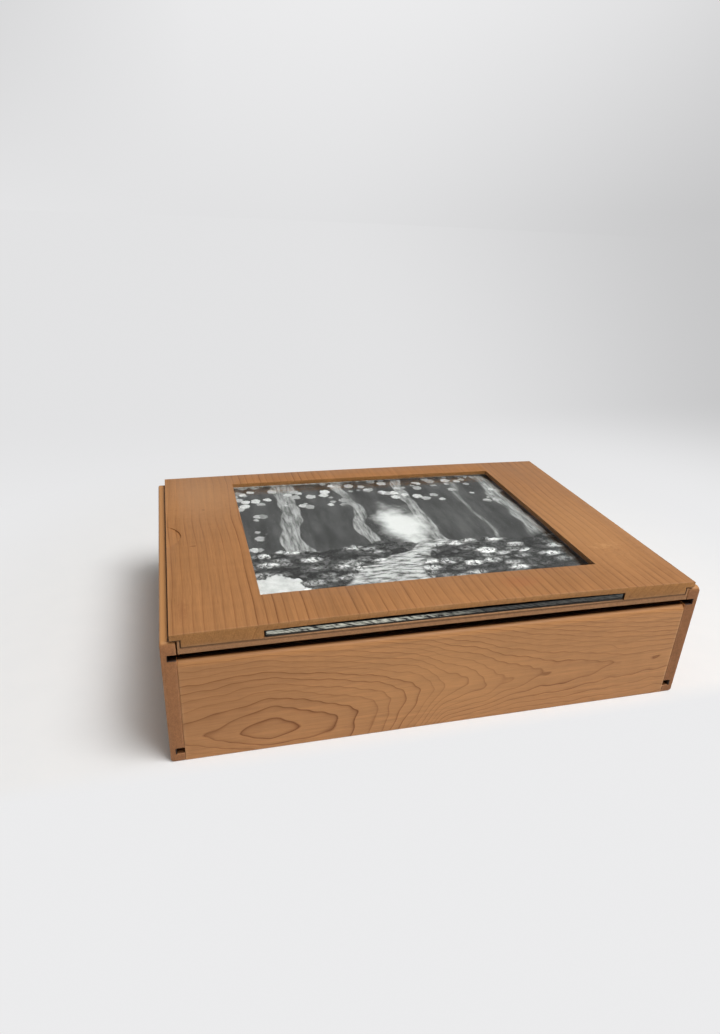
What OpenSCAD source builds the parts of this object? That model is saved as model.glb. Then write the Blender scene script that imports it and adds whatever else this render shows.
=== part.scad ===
// Photo storage box: a low cherry box whose sliding lid holds a print behind a clear sheet.
// Frame: +X right, +Y back, +Z up. The origin is on the table, under the middle of the box.
// All sizes are in millimetres.

/* [Box] */
// Width over the two side walls
box_w = 381; // [320:1:460]
// Depth from the front face to the back face
box_d = 263; // [220:1:340]
// Height of the side walls
wall_h = 94; // [75:1:130]
// Thickness of the side walls
wall_t = 9.5; // [9:0.5:14]
// Thickness of the front and back panels
panel_t = 9.5; // [9:0.5:14]
// Rounding of the exposed long edges of walls and panels
edge_r = 1.2; // [0.5:0.1:2]

/* [Bottom panel] */
// Thickness of the bottom panel
bottom_t = 4.2; // [3:0.1:6]
// Height of the bottom panel's groove over the table
bottom_z = 6; // [4:0.5:12]
// How far the bottom panel's groove goes into the walls and panels
bottom_groove_d = 5; // [3:0.25:6]

/* [Lid] */
// Thickness of the lid's upper board at its sides
frame_t = 8.9; // [8:0.1:11]
// Rise of the lid's top from its sides to its middle
crown = 2; // [0.5:0.1:4]
// Thickness of the lid's lower board
base_t = 4.4; // [3:0.1:6]
// Thickness of the lips that lie on the side walls
lip_t = 4; // [2.5:0.1:5]
// Width of wall top that stays bare beside the lid
wall_reveal = 6; // [3:0.1:7.5]
// Thickness of the lower board's upright edges
upstand_t = 1.8; // [1.5:0.1:3]
// Diameter of the thumb recess
thumb_d = 43; // [30:1:50]
// How far the thumb recess reaches in from the lid's left edge
thumb_reach = 11; // [8:0.1:16]
// Depth of the thumb recess at its inner end
thumb_depth = 1.3; // [0.8:0.1:2]

/* [Window and sheets] */
// Width of the board left beside the window
side_rail = 59.5; // [45:0.1:80]
// Width of the board left in front of the window
front_rail = 37; // [30:0.5:70]
// Width of the board left behind the window
back_rail = 23; // [16:0.5:40]
// How far the slot is wider than the window, on each side
slot_lap = 2.5; // [1.5:0.1:6]
// How far the slot goes on behind the window
slot_lap_back = 4; // [2:0.5:10]
// Height of the slot that the sheets slide in
slot_h = 6.3; // [5.5:0.1:6.8]
// Thickness of the clear sheet
glazing_t = 3.1; // [2:0.1:3.4]
// Thickness of the print
print_t = 0.3; // [0.2:0.05:0.5]
// Thickness of the card behind the print
backing_t = 1; // [0.4:0.1:1.5]

/* [Runners] */
// Height of the grooves that the lid's runners slide in
groove_h = 4; // [2.4:0.1:5]
// How far these grooves go into the side walls
groove_d = 5.5; // [3.5:0.1:6]
// How far the wall reaches below the lid before the groove starts
rail_drop = 1.2; // [1:0.1:3]
// How far the front panel's top lies below the groove
front_drop = 0.8; // [0.6:0.1:3]
// Width of a runner under the lid
runner_w = 14; // [11:0.5:20]
// Distance from the lid's front edge to the runners
runner_setback = 30; // [20:1:60]

/* [Fasteners] */
// Diameter of the corner dowels
dowel_d = 6; // [5:0.5:6.5]
// Depth of a dowel's hole in a side wall
dowel_in_wall = 6; // [4:0.5:7]
// Depth of a dowel's hole in the end of a panel
dowel_in_panel = 16; // [10:1:25]
// Dowels in each corner
dowel_count = 3; // [2:1:4]
// Shank diameter of a runner screw
screw_d = 2.9; // [2.5:0.1:3.5]
// Head diameter of a runner screw
screw_head_d = 5.6; // [5:0.1:6.5]
// How far a runner screw goes into the lid's upper board
screw_hold = 3.2; // [2:0.1:4.5]
// Screws in each runner
screw_count = 3; // [2:1:5]

/* [Clearances] */
// Gap between the lid's sides and the walls
side_gap = 0.9; // [0.5:0.1:1.5]
// Gap between the lips and the wall tops
lip_gap = 0.1; // [0.1:0.1:0.5]
// Gap between the upper board and the upright edges beside it
seat_gap = 0.4; // [0.2:0.1:0.8]
// Gap above and below a runner's tongue
tongue_gap = 0.3; // [0.2:0.05:0.6]
// Gap at the end of a runner's tongue
tongue_end_gap = 0.5; // [0.3:0.1:1]
// Gap between the lid and the back panel
back_gap = 0.3; // [0.2:0.1:1]
// Gap between two sheets, or a sheet and the lower board
sheet_gap = 0.15; // [0.1:0.05:0.3]
// Gap between the slot's ends and the clear sheet
sheet_side_gap = 1; // [0.5:0.1:1.4]
// How far the sheets' front edges lie inside the lid's front edge
sheet_setback = 1; // [0.5:0.1:5]
// Slack of the bottom panel above it and at its edges
bottom_slack = 0.3; // [0.2:0.1:1]
// Slack around a dowel and at its ends
dowel_slack = 0.05; // [0.02:0.01:0.1]
// Slack around a screw's shank where it passes a board freely
screw_slack = 0.15; // [0.1:0.05:0.3]
// How much narrower than the shank a screw's pilot hole is, on the radius
screw_bite = 0.15; // [0.1:0.05:0.3]

/* [Hidden] */
$fn = 64;

// Flat steps that make up the crowned top
crown_steps = 32;

// A cut runs this far past the face it opens
cut = 1;

// Plan of the box
front_y = -box_d / 2;
back_y = box_d / 2;
inner_x = box_w / 2 - wall_t;
inner_y = box_d / 2 - panel_t;

// Heights of the lid's layers
lip_z = wall_h + lip_gap;
side_top = lip_z + lip_t;
frame_z = side_top - frame_t;
base_z = frame_z - base_t;

// Heights of the groove and of the panels that follow from it
groove_top = base_z - rail_drop;
groove_z = groove_top - groove_h;
front_h = groove_z - front_drop;
back_h = base_z - back_gap;

// Plan of the lid
lid_w = box_w - 2 * wall_reveal;
base_w = 2 * (inner_x - side_gap);
body_w = base_w - 2 * (upstand_t + seat_gap);
upstand_top = lip_z - seat_gap;
window_w = lid_w - 2 * side_rail;
window_d = box_d - front_rail - back_rail;
window_y = front_y + front_rail;
slot_w = window_w + 2 * slot_lap;
slot_back = window_y + window_d + slot_lap_back;

// Runners: the tongue runs in the wall's groove, the back end stops at the back panel
tongue_z = groove_z + tongue_gap;
tongue_t = groove_h - 2 * tongue_gap;
tongue_x = inner_x + groove_d - tongue_end_gap;
runner_x = base_w / 2;
runner_y = front_y + runner_setback;
runner_end = inner_y - back_gap;
runner_len = runner_end - runner_y;
screw_x = runner_x - runner_w / 2;
screw_len = frame_z - tongue_z + screw_hold;
screw_end_d = 1;
screw_head_h = (screw_head_d - screw_d) / 2;
screw_margin = runner_len / (2 * screw_count);

// Sheets, from the lower board up
backing_z = frame_z + sheet_gap;
print_z = backing_z + backing_t + sheet_gap;
glazing_z = print_z + print_t + sheet_gap;
sheet_w = slot_w - 2 * sheet_side_gap;
sheet_y = front_y + sheet_setback;
sheet_len = slot_back - back_gap - sheet_y;

// Dowels, spread between the bottom groove and the lid's groove
dowel_low = bottom_z + bottom_t + bottom_slack + dowel_d;
dowel_high = groove_z - dowel_d;
dowel_y = box_d / 2 - panel_t / 2;

// Height of the dowel with the given number, counted from the bottom
function dowel_height(i) = dowel_low + (i + 0.5) * (dowel_high - dowel_low) / dowel_count;

// Place along the runner of the screw with the given number, counted from the front
function screw_place(i) = runner_y + screw_margin * (2 * i + 1);

// Upright cross-section of a board with both of its top edges rounded
module eased_profile(width, height, radius) {
    square([width, height - radius]);
    translate([radius, height - 2 * radius]) square([width - 2 * radius, 2 * radius]);
    translate([radius, height - radius]) circle(r = radius);
    translate([width - radius, height - radius]) circle(r = radius);
}

// One dowel, or its hole, lying across the joint between a wall and a panel
module corner_dowel(slack, radius) {
    translate([-dowel_in_panel + slack, 0, 0])
        rotate([0, 90, 0])
            cylinder(r = radius, h = dowel_in_panel + dowel_in_wall - 2 * slack);
}

// All dowels, or their holes, at the right-hand side of the box
module dowels_on_side(slack, radius) {
    for (y = [-dowel_y, dowel_y])
        for (i = [0 : dowel_count - 1])
            translate([inner_x, y, dowel_height(i)]) corner_dowel(slack, radius);
}

// Space cut out for the bottom panel, through the side walls to both ends
module bottom_groove() {
    translate([-inner_x - bottom_groove_d, front_y - cut, bottom_z])
        cube([2 * (inner_x + bottom_groove_d), box_d + 2 * cut, bottom_t + bottom_slack]);
}

// The right-hand side wall; the left one is its mirror image
module side_wall() {
    difference() {
        translate([inner_x, back_y, 0])
            rotate([90, 0, 0])
                linear_extrude(height = box_d) eased_profile(wall_t, wall_h, edge_r);
        bottom_groove();
        translate([inner_x - cut, front_y - cut, groove_z])
            cube([groove_d + cut, box_d + 2 * cut, groove_h]);
        dowels_on_side(0, dowel_d / 2);
    }
}

// A panel that closes the front or the back, seen with its outer face at y = -box_d / 2
module end_panel(height) {
    difference() {
        translate([-inner_x, front_y, 0])
            rotate([90, 0, 90])
                linear_extrude(height = 2 * inner_x) eased_profile(panel_t, height, edge_r);
        translate([-inner_x - cut, front_y + panel_t - bottom_groove_d, bottom_z])
            cube([2 * (inner_x + cut), bottom_groove_d + cut, bottom_t + bottom_slack]);
        dowels_on_side(0, dowel_d / 2);
        mirror([1, 0, 0]) dowels_on_side(0, dowel_d / 2);
    }
}

module side_wall_left() {
    color("#9a6541") mirror([1, 0, 0]) side_wall();
}

module side_wall_right() {
    color("#9a6541") side_wall();
}

module front_panel() {
    color("#a5764b") end_panel(front_h);
}

module back_panel() {
    color("#a5764b") mirror([0, 1, 0]) end_panel(back_h);
}

module bottom_panel() {
    reach_x = inner_x + bottom_groove_d - bottom_slack;
    reach_y = inner_y + bottom_groove_d - bottom_slack;
    color("#c49a6c")
        translate([-reach_x, -reach_y, bottom_z])
            cube([2 * reach_x, 2 * reach_y, bottom_t]);
}

module corner_dowels() {
    color("#d8b98c") {
        dowels_on_side(dowel_slack, dowel_d / 2 - dowel_slack);
        mirror([1, 0, 0]) dowels_on_side(dowel_slack, dowel_d / 2 - dowel_slack);
    }
}

// Places of the runner screws on the right-hand side, at the runner's underside
module at_screws() {
    for (i = [0 : screw_count - 1])
        translate([screw_x, screw_place(i), tongue_z]) children();
}

// Straight holes for the runner screws, through everything above the runner's underside
module screw_holes(radius) {
    at_screws() cylinder(r = radius, h = screw_len);
    mirror([1, 0, 0]) at_screws() cylinder(r = radius, h = screw_len);
}

// A screw with a countersunk head, pointing up from z = 0
module runner_screw() {
    cylinder(d1 = screw_head_d, d2 = screw_d, h = screw_head_h);
    cylinder(d = screw_d, h = screw_len - screw_end_d);
    translate([0, 0, screw_len - screw_end_d]) cylinder(d1 = screw_d, d2 = screw_end_d, h = screw_end_d);
}

// Round cutter that goes down as it goes in from the lid's left edge
module thumb_recess() {
    translate([-lid_w / 2, window_y + window_d / 2, side_top])
        rotate([0, asin(thumb_depth / thumb_reach), 0])
            translate([thumb_reach - thumb_d / 2, 0, 0]) cylinder(d = thumb_d, h = thumb_d);
}

// Height of the crowned top at a place across the lid, given as x / (lid_w / 2)
function crown_z(share) = side_top + crown * (1 - share * share);

// The upper board seen from the front: a body with a lip on each side and a crowned top
module frame_profile() {
    under = [[-lid_w / 2, lip_z], [-body_w / 2, lip_z], [-body_w / 2, frame_z],
             [body_w / 2, frame_z], [body_w / 2, lip_z], [lid_w / 2, lip_z]];
    arc = [for (i = [0 : crown_steps])
        let (share = 1 - 2 * i / crown_steps)
        [share * lid_w / 2, crown_z(share)]];
    polygon(concat(under, arc));
}

module lid_frame() {
    color("#b4825a")
        difference() {
            translate([0, back_y, 0]) rotate([90, 0, 0]) linear_extrude(height = box_d) frame_profile();
            translate([-slot_w / 2, front_y - cut, frame_z - cut])
                cube([slot_w, slot_back - front_y + cut, slot_h + cut]);
            translate([-window_w / 2, window_y, frame_z - cut])
                cube([window_w, window_d, frame_t + crown + 2 * cut]);
            thumb_recess();
            screw_holes(screw_d / 2 - screw_bite);
        }
}

module lid_base() {
    color("#a98362")
        difference() {
            translate([-base_w / 2, front_y, base_z])
                cube([base_w, box_d, upstand_top - base_z]);
            translate([-base_w / 2 + upstand_t, front_y - cut, frame_z])
                cube([base_w - 2 * upstand_t, box_d + 2 * cut, upstand_top]);
            screw_holes(screw_d / 2 + screw_slack);
        }
}

// The right-hand runner: a strip under the lid whose tongue reaches into the wall's groove
module runner() {
    difference() {
        union() {
            translate([runner_x - runner_w, runner_y, tongue_z])
                cube([runner_w, runner_len, base_z - tongue_z]);
            translate([runner_x - runner_w, runner_y, tongue_z])
                cube([tongue_x - runner_x + runner_w, runner_len, tongue_t]);
        }
        at_screws() cylinder(d1 = screw_head_d, d2 = screw_d, h = screw_head_h);
        at_screws() cylinder(r = screw_d / 2 + screw_slack, h = screw_len);
    }
}

module runner_left() {
    color("#8f5f3c") mirror([1, 0, 0]) runner();
}

module runner_right() {
    color("#8f5f3c") runner();
}

module runner_screws() {
    color("#c9a54e") {
        at_screws() runner_screw();
        mirror([1, 0, 0]) at_screws() runner_screw();
    }
}

// A flat sheet in the lid's slot
module slot_sheet(width, z, thickness) {
    translate([-width / 2, sheet_y, z]) cube([width, sheet_len, thickness]);
}

module glazing_sheet() {
    color("#cfe0da") slot_sheet(sheet_w, glazing_z, glazing_t);
}

module display_print() {
    color("#7b7d7b") slot_sheet(sheet_w, print_z, print_t);
}

module backing_card() {
    color("#d9d0c2") slot_sheet(sheet_w, backing_z, backing_t);
}

side_wall_left();
side_wall_right();
front_panel();
back_panel();
bottom_panel();
corner_dowels();
lid_frame();
lid_base();
runner_left();
runner_right();
runner_screws();
glazing_sheet();
display_print();
backing_card();
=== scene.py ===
import bmesh
import bpy
import numpy as np
from mathutils import Matrix, Vector


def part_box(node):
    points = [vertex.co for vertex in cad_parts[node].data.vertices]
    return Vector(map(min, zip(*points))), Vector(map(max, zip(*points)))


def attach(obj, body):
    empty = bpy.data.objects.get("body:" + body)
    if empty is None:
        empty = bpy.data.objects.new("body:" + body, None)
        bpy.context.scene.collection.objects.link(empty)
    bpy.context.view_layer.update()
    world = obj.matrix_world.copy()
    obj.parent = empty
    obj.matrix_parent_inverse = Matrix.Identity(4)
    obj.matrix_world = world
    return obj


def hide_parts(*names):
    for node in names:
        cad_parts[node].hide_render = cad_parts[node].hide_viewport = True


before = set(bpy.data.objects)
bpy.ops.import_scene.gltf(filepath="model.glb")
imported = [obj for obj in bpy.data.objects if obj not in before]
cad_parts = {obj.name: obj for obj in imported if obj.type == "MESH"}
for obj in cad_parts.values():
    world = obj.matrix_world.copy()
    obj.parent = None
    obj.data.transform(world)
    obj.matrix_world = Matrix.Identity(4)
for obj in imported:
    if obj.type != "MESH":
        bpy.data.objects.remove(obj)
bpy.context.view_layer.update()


def node_box(node):
    """The lowest and the highest corner of a CAD piece, to the nearest micrometre."""
    return [[round(float(v), 6) for v in corner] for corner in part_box(node)]


# Sizes in metres. Those that the frame holds are read from it, the others are the solid model's own.
(INNER_X, FRONT_Y, _), (OUTER_X, BACK_Y, WALL_H) = node_box("side_wall_right")
LID_LOW, LID_HIGH = node_box("lid_frame")
BASE_LOW, BASE_HIGH = node_box("lid_base")
BOTTOM_LOW, BOTTOM_HIGH = node_box("bottom_panel")
BACK_LOW, BACK_HIGH = node_box("back_panel")
PANE_LOW, PANE_HIGH = node_box("glazing_sheet")

PANEL_T = BACK_Y - BACK_LOW[1]
FRONT_H = node_box("front_panel")[1][2]
BASE_Z = BASE_LOW[2]
UPRIGHT_TOP = BASE_HIGH[2]
UPRIGHT_T = 0.0018
SEAT_GAP = 0.0004
JOINT_X = BASE_HIGH[0] - UPRIGHT_T - SEAT_GAP
RAIL_DROP = 0.0012
GROOVE_H = 0.004
GROOVE_D = 0.0055
GROOVE_Z = BASE_Z - RAIL_DROP - GROOVE_H
BOTTOM_Z = BOTTOM_LOW[2]
BOTTOM_SLACK = 0.0003
BOTTOM_GROOVE_H = BOTTOM_HIGH[2] - BOTTOM_Z + BOTTOM_SLACK
BOTTOM_GROOVE_D = 0.005

HALF_LID = LID_HIGH[0]
FRAME_Z = LID_LOW[2]
CROWN = 0.002
SIDE_TOP = LID_HIGH[2] - CROWN
LIP_T = 0.004
LIP_Z = SIDE_TOP - LIP_T
SLOT_H = 0.0063
SLOT_TOP = FRAME_Z + SLOT_H
SIDE_RAIL = 0.0595
FRONT_RAIL = 0.037
BACK_RAIL = 0.023
WINDOW = (-HALF_LID + SIDE_RAIL, HALF_LID - SIDE_RAIL, FRONT_Y + FRONT_RAIL, BACK_Y - BACK_RAIL)
PRINT_SHAPE = 1.24  # width over depth of the picture in the window

# The wood has shrunk a little in height since the box was made
WALL_TOP = WALL_H - 0.0006
BACK_H = BACK_HIGH[2] - 0.0004

# Near-black brown for painted shade in the grooves, creases and slot, also the colour of the lid's dark
# joint, and how far back the painted shade reaches from the box's front
SHADE = (0.016, 0.006, 0.0025, 1)
MOUTH_END = FRONT_Y + 0.0195
LIP_END = FRONT_Y + 0.005

# Past the box's front and back, and past both ends of the front panel, for tints that reach across
PAST_ENDS = 0.14
PAST_SIDES = 0.19


# Shapes of the pieces

def outline(corners, step, inset):
    """Closed outline from corners (a, b, r), where r rounds a right-angled corner, moved inward by inset.
    A rounded corner at p between the unit directions u and v to its neighbours is
    p + (u + v) r - v r cos t - u r sin t for t = 0 to 90 degrees. The inset moves p by (u + v) inset
    at an outer corner and the other way at an inner one, and takes inset off r or adds it to r.
    Unless step is None, every side is then cut into lengths of about step."""
    pts = np.array([c[:2] for c in corners], float)
    back, ahead = np.roll(pts, 1, axis=0) - pts, np.roll(pts, -1, axis=0) - pts
    u = back / np.linalg.norm(back, axis=1)[:, None]
    v = ahead / np.linalg.norm(ahead, axis=1)[:, None]
    turn = np.sign(v[:, 1] * u[:, 0] - v[:, 0] * u[:, 1])
    turn *= -np.sign(np.sum(pts[:, 0] * np.roll(pts[:, 1], -1) - np.roll(pts[:, 0], -1) * pts[:, 1]))
    t = np.linspace(0, np.pi / 2, 6)[:, None]

    def ring(amount):
        out = []
        for k, r in enumerate(c[2] for c in corners):
            q = pts[k] + (u[k] + v[k]) * amount * turn[k]
            if r > 0:
                rad = max(r - amount * turn[k], 1e-6)
                out.append(q + (u[k] + v[k]) * rad - v[k] * rad * np.cos(t) - u[k] * rad * np.sin(t))
            else:
                out.append(q[None])
        return np.concatenate(out)

    base, moved = ring(0.0), ring(inset)
    if step:
        sides = np.linalg.norm(np.roll(base, -1, axis=0) - base, axis=1)
        cuts = np.maximum(1, np.round(sides / step)).astype(int)
        following = np.roll(moved, -1, axis=0)
        moved = np.concatenate([a + (b - a) * np.arange(n)[:, None] / n
                                for a, b, n in zip(moved, following, cuts)])
    return moved


def ring_faces(rings, count):
    """Faces between neighbouring rings, each of count points that close into a loop."""
    i, j = np.meshgrid(np.arange(rings - 1), np.arange(count), indexing="ij")
    ahead = (j + 1) % count
    near, far = i * count, (i + 1) * count
    return np.stack([near + j, near + ahead, far + ahead, far + j], -1).reshape(-1, 4)


def mesh_object(name, verts, quads, caps):
    """A mesh of four-sided faces and larger end faces, smooth apart from edges over 32 degrees."""
    mesh = bpy.data.meshes.new(name)
    mesh.from_pydata(verts.tolist(), [], quads.tolist() + [cap.tolist() for cap in caps])
    bm = bmesh.new()
    bm.from_mesh(mesh)
    bmesh.ops.recalc_face_normals(bm, faces=bm.faces)
    bm.to_mesh(mesh)
    bm.free()
    mesh.polygons.foreach_set("use_smooth", np.ones(len(mesh.polygons), bool))
    mesh.set_sharp_from_angle(angle=np.radians(32))
    obj = bpy.data.objects.new(name, mesh)
    bpy.context.scene.collection.objects.link(obj)
    return obj


def swept_board(name, corners, start, end, axes, ease, steps=4, spacing=None, step=None, near_ends=()):
    """A board: a closed outline carried along a straight path from start to end.
    Near each end the outline moves inward by ease (1 - sin t) while the place along
    the path is ease (1 - cos t), t = 0 to 90 degrees, which rounds the end's edges.
    Between them are cross-sections at the distances near_ends from both ends, or every spacing."""
    t = np.linspace(0, np.pi / 2, steps + 1)
    first, last = start + ease * (1 - np.cos(t)), end - ease * (1 - np.cos(t[::-1]))
    mid = np.r_[start + np.array(near_ends), end - np.array(near_ends[::-1])]
    if spacing:
        cuts = int(round((end - start - 2 * ease) / spacing))
        mid = np.linspace(start + ease, end - ease, cuts + 1)[1:-1]
    place_along = np.r_[first, mid, last]
    insets = np.r_[ease * (1 - np.sin(t)), mid * 0, ease * (1 - np.sin(t[::-1]))].tolist()
    rings = {d: outline(corners, step, d) for d in set(insets)}
    flat = np.stack([rings[d] for d in insets])
    sections, count = flat.shape[:2]
    verts = np.zeros((sections, count, 3))
    verts[..., axes[0]] = flat[..., 0]
    verts[..., axes[1]] = flat[..., 1]
    verts[..., axes[2]] = place_along[:, None]
    caps = [np.arange(count), (sections - 1) * count + np.arange(count)]
    return mesh_object(name, verts.reshape(-1, 3), ring_faces(sections, count), caps)


def eased_copy(name, node, width, segments=3, strips=0, smooth=True):
    """The CAD piece's own shape with its sharp edges sanded round, cut into strips across the box
    where it has to follow a curve."""
    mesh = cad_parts[node].data.copy()
    mesh.name = name
    bm = bmesh.new()
    bm.from_mesh(mesh)
    bmesh.ops.remove_doubles(bm, verts=bm.verts, dist=1e-6)
    bmesh.ops.dissolve_limit(bm, angle_limit=0.0006, verts=bm.verts, edges=bm.edges)
    for x in np.linspace(-HALF_LID, HALF_LID, strips + 1)[1:-1]:
        everything = bm.verts[:] + bm.edges[:] + bm.faces[:]
        bmesh.ops.bisect_plane(bm, geom=everything, dist=1e-6, plane_co=(x, 0, 0), plane_no=(1, 0, 0))
    bm.to_mesh(mesh)
    bm.free()
    mesh.materials.clear()
    mesh.polygons.foreach_set("use_smooth", np.full(len(mesh.polygons), smooth))
    obj = bpy.data.objects.new(name, mesh)
    bpy.context.scene.collection.objects.link(obj)
    bevel = obj.modifiers.new("eased edges", "BEVEL")
    bevel.width = width
    bevel.segments = segments
    bevel.limit_method = "ANGLE"
    bevel.angle_limit = np.radians(35)
    bevel.harden_normals = smooth
    return obj


def points(obj):
    p = np.empty(len(obj.data.vertices) * 3, np.float32)
    obj.data.vertices.foreach_get("co", p)
    return p.reshape(-1, 3).astype(float)


def move(obj, p):
    obj.data.vertices.foreach_set("co", p.ravel().astype(np.float32))
    obj.data.update()


def wall_outline(side):
    """Upright cross-section of a side wall as (x, z, rounding): outer face, eased top, two grooves."""
    groove_x, groove_top = INNER_X + GROOVE_D, GROOVE_Z + GROOVE_H
    bottom_x, bottom_top = INNER_X + BOTTOM_GROOVE_D, BOTTOM_Z + BOTTOM_GROOVE_H
    pts = [(OUTER_X, 0, 0.0022), (OUTER_X, WALL_TOP, 0.0016), (INNER_X, WALL_TOP, 0.0012),
           (INNER_X, groove_top, 0.0003), (groove_x, groove_top, 0),
           (groove_x, GROOVE_Z, 0), (INNER_X, GROOVE_Z, 0.0003),
           (INNER_X, bottom_top, 0.0002), (bottom_x, bottom_top, 0),
           (bottom_x, BOTTOM_Z, 0), (INNER_X, BOTTOM_Z, 0.0002), (INNER_X, 0, 0.0004)]
    return [(side * x, z, r) for x, z, r in pts]


def panel_outline(side, height):
    """Upright cross-section of an end panel as (y, z, rounding): half-round top, groove for the bottom."""
    outer, inner = BACK_Y, BACK_Y - PANEL_T
    groove_y, groove_top = inner + BOTTOM_GROOVE_D, BOTTOM_Z + BOTTOM_GROOVE_H
    pts = [(outer, 0, 0.0006), (outer, height, 0.0046), (inner, height, 0.0046),
           (inner, groove_top, 0.0003), (groove_y, groove_top, 0),
           (groove_y, BOTTOM_Z, 0), (inner, BOTTOM_Z, 0.0003), (inner, 0, 0.0006)]
    return [(side * y, z, r) for y, z, r in pts]


def round_top_ends(obj, top, radius):
    """The wall's top falls away over the last radius of its length like a quarter circle:
    by radius - sqrt(radius^2 - (radius - d)^2) at the distance d from an end. The fall grows from
    nothing 9 mm under the top to the whole of it 2 mm under the top."""
    p = points(obj)
    past = np.clip(radius - (BACK_Y - np.abs(p[:, 1])), 0, radius)
    weight = np.clip((p[:, 2] - (top - 0.009)) / 0.007, 0, 1)
    p[:, 2] -= weight * (radius - np.sqrt(radius ** 2 - past ** 2))
    move(obj, p)


def arch(p):
    """How far a point is from the lid's sides: 1 - (x / half width)^2."""
    return 1 - (p[:, 0] / HALF_LID) ** 2


def cupped(obj, part):
    """The lid's boards are a little cupped. With k from arch(), each layer is moved up by a + b k at
    the front edge and by half of that at the back; between the layers the lift is interpolated in z.
    The upper board's crown also falls to half its height at the back."""
    p = points(obj)
    z, k = p[:, 2], arch(p)
    share = 1 - 0.5 * np.clip((p[:, 1] - FRONT_Y) / (BACK_Y - FRONT_Y), 0, 1)
    edge = -0.0002
    if part == "under":
        low, seat = -0.0006 + 0.00105 * k, -0.0006 + 0.00115 * k
        over_board = np.clip((z - BASE_Z) / (FRAME_Z - BASE_Z), 0, 1)
        over_upright = np.clip((z - FRAME_Z) / (UPRIGHT_TOP - FRAME_Z), 0, 1)
        lift = np.where(z < FRAME_Z, low + (seat - low) * over_board, seat + (edge - seat) * over_upright)
    else:
        seat, slot = -0.00035 + 0.0009 * k, -0.00194 + 0.00284 * k
        inner = np.abs(p[:, 0]) < WINDOW[1] + 0.003
        middle, height = np.where(inner, slot, edge), np.where(inner, SLOT_TOP, LIP_Z)
        below = np.clip((z - FRAME_Z) / (height - FRAME_Z), 0, 1)
        above = np.clip((SIDE_TOP - z) / (SIDE_TOP - height), 0, 1)
        lift = np.where(z < height, seat + (middle - seat) * below, middle * above)
    p[:, 2] += lift * share
    if part == "upper":
        p[:, 2] -= np.clip(p[:, 2] - SIDE_TOP, 0, None) * (1 - share)
    move(obj, p)


def bent_card(obj):
    """The card's underside follows the lower board: it rises by 0.5 mm (arch - 0.52) / 0.48."""
    p = points(obj)
    underside = p[:, 2] < (p[:, 2].min() + p[:, 2].max()) / 2
    p[:, 2] += np.where(underside, 0.0005 * np.clip((arch(p) - 0.52) / 0.48, 0, 1), 0)
    move(obj, p)


def panel_rings(p):
    """Growth-ring number over the front panel, in millimetres: F = R(x) + A(x) (dz / reach)^n, where dz is
    the height over the figure's middle line z0(x), R is the ring number on that line, and A is the number
    of rings from it to the panel's top or bottom edge. Sums of sines make the lines wander, calmly round
    the left knot, and a small dip adds a second knot. A ring goes 2.6 mm deep into the board."""
    x, y, z = p.T * 1000
    fine = np.linspace(-215, 215, 861)
    kernel = np.exp(-0.5 * (np.arange(-24, 25) / 5.0) ** 2)
    kernel /= kernel.sum()

    def smooth(xs, values, at):
        line = np.interp(fine, xs, values)
        line = np.convolve(np.pad(line, 24, mode="edge"), kernel, mode="valid")
        return np.interp(at, fine, line)

    line_x = [-190, -125, -81, -66, -49, -28, 17, 30, 70, 151, 200]
    line_z = [20, 14, 17, 20, 25, 32, 33, 30, 33, 35.7, 37]
    z0 = smooth(line_x, line_z, x)
    ring_x = [-190, -172, -145, -125, -105, -81, -66, -49, -40, -28,
              -18, -10, -3, 8, 17, 30, 40, 70, 151, 200]
    ring_r = [2.6, 2.0, 1.0, 0.30, 1.0, 2.0, 3.0, 4.0, 5.0, 6.0,
              7.0, 8.0, 9.0, 9.5, 10.0, 11.0, 12.0, 13.0, 14.0, 14.1]
    mid = smooth(ring_x, ring_r, x + 0.10 * (z - z0) * np.clip((x + 60) / 60, -0.5, 1))
    top = smooth([-190, -125, -60, 0, 60, 100, 150, 200], [11.2, 10.8, 13.2, 17, 20.5, 22.5, 24.2, 26], x)
    low = smooth([-190, -125, -81, -49, -20, 0, 50, 200], [5.4, 2.6, 2.4, 4.6, 9.5, 15.5, 18, 18], x)
    power = np.interp(x, [-190, -60, 0, 60, 115, 151, 190], [1.5, 1.55, 1.6, 1.75, 1.4, 1.15, 1.15])
    dz = z - z0
    up = np.clip(dz / (80 - z0), 0, 2) ** power * (top - mid)
    down = np.clip(-dz / z0, 0, 2) ** 1.5 * (low - mid)
    left_knot = np.exp(-((x + 112) / 42.0) ** 2 - ((z - 14) / 15.0) ** 2)
    ripple = (0.10 * np.sin(x / 9.0 + 1.3 * np.sin(z / 8.0)) + 0.06 * np.sin(x / 4.6 + z / 5.0)
              + 0.05 * np.sin(x / 2.3 - z / 1.9))
    wander = (1 - 0.85 * left_knot) * (ripple + 0.16 * np.sin(x / 27.0 + z / 17.0 + 0.6))
    small_knot = np.exp(-((x - 120) / 9.0) ** 2 - ((z - 51) / 3.0) ** 2)
    return mid + up + down + wander - 0.9 * small_knot + (y - FRONT_Y * 1000) / 2.6


def set_rings(obj, values):
    a = obj.data.attributes.new("rings", "FLOAT", "POINT")
    a.data.foreach_set("value", values.astype(np.float32))


# Helpers for the materials

def srgb(r, g, b):
    c = np.array([r, g, b]) / 255.0
    c = np.where(c <= 0.04045, c / 12.92, ((c + 0.055) / 1.055) ** 2.4)
    return (*[float(v) for v in c], 1.0)


def feed(tree, socket, value):
    """Link another node's output into a socket, or give it a plain value."""
    if isinstance(value, bpy.types.NodeSocket):
        tree.links.new(value, socket)
    else:
        socket.default_value = value


def add(tree, kind, inputs=None, **props):
    n = tree.nodes.new(kind)
    for key, value in props.items():
        setattr(n, key, value)
    for key, value in (inputs or {}).items():
        feed(tree, n.inputs[key], value)
    return n


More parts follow.
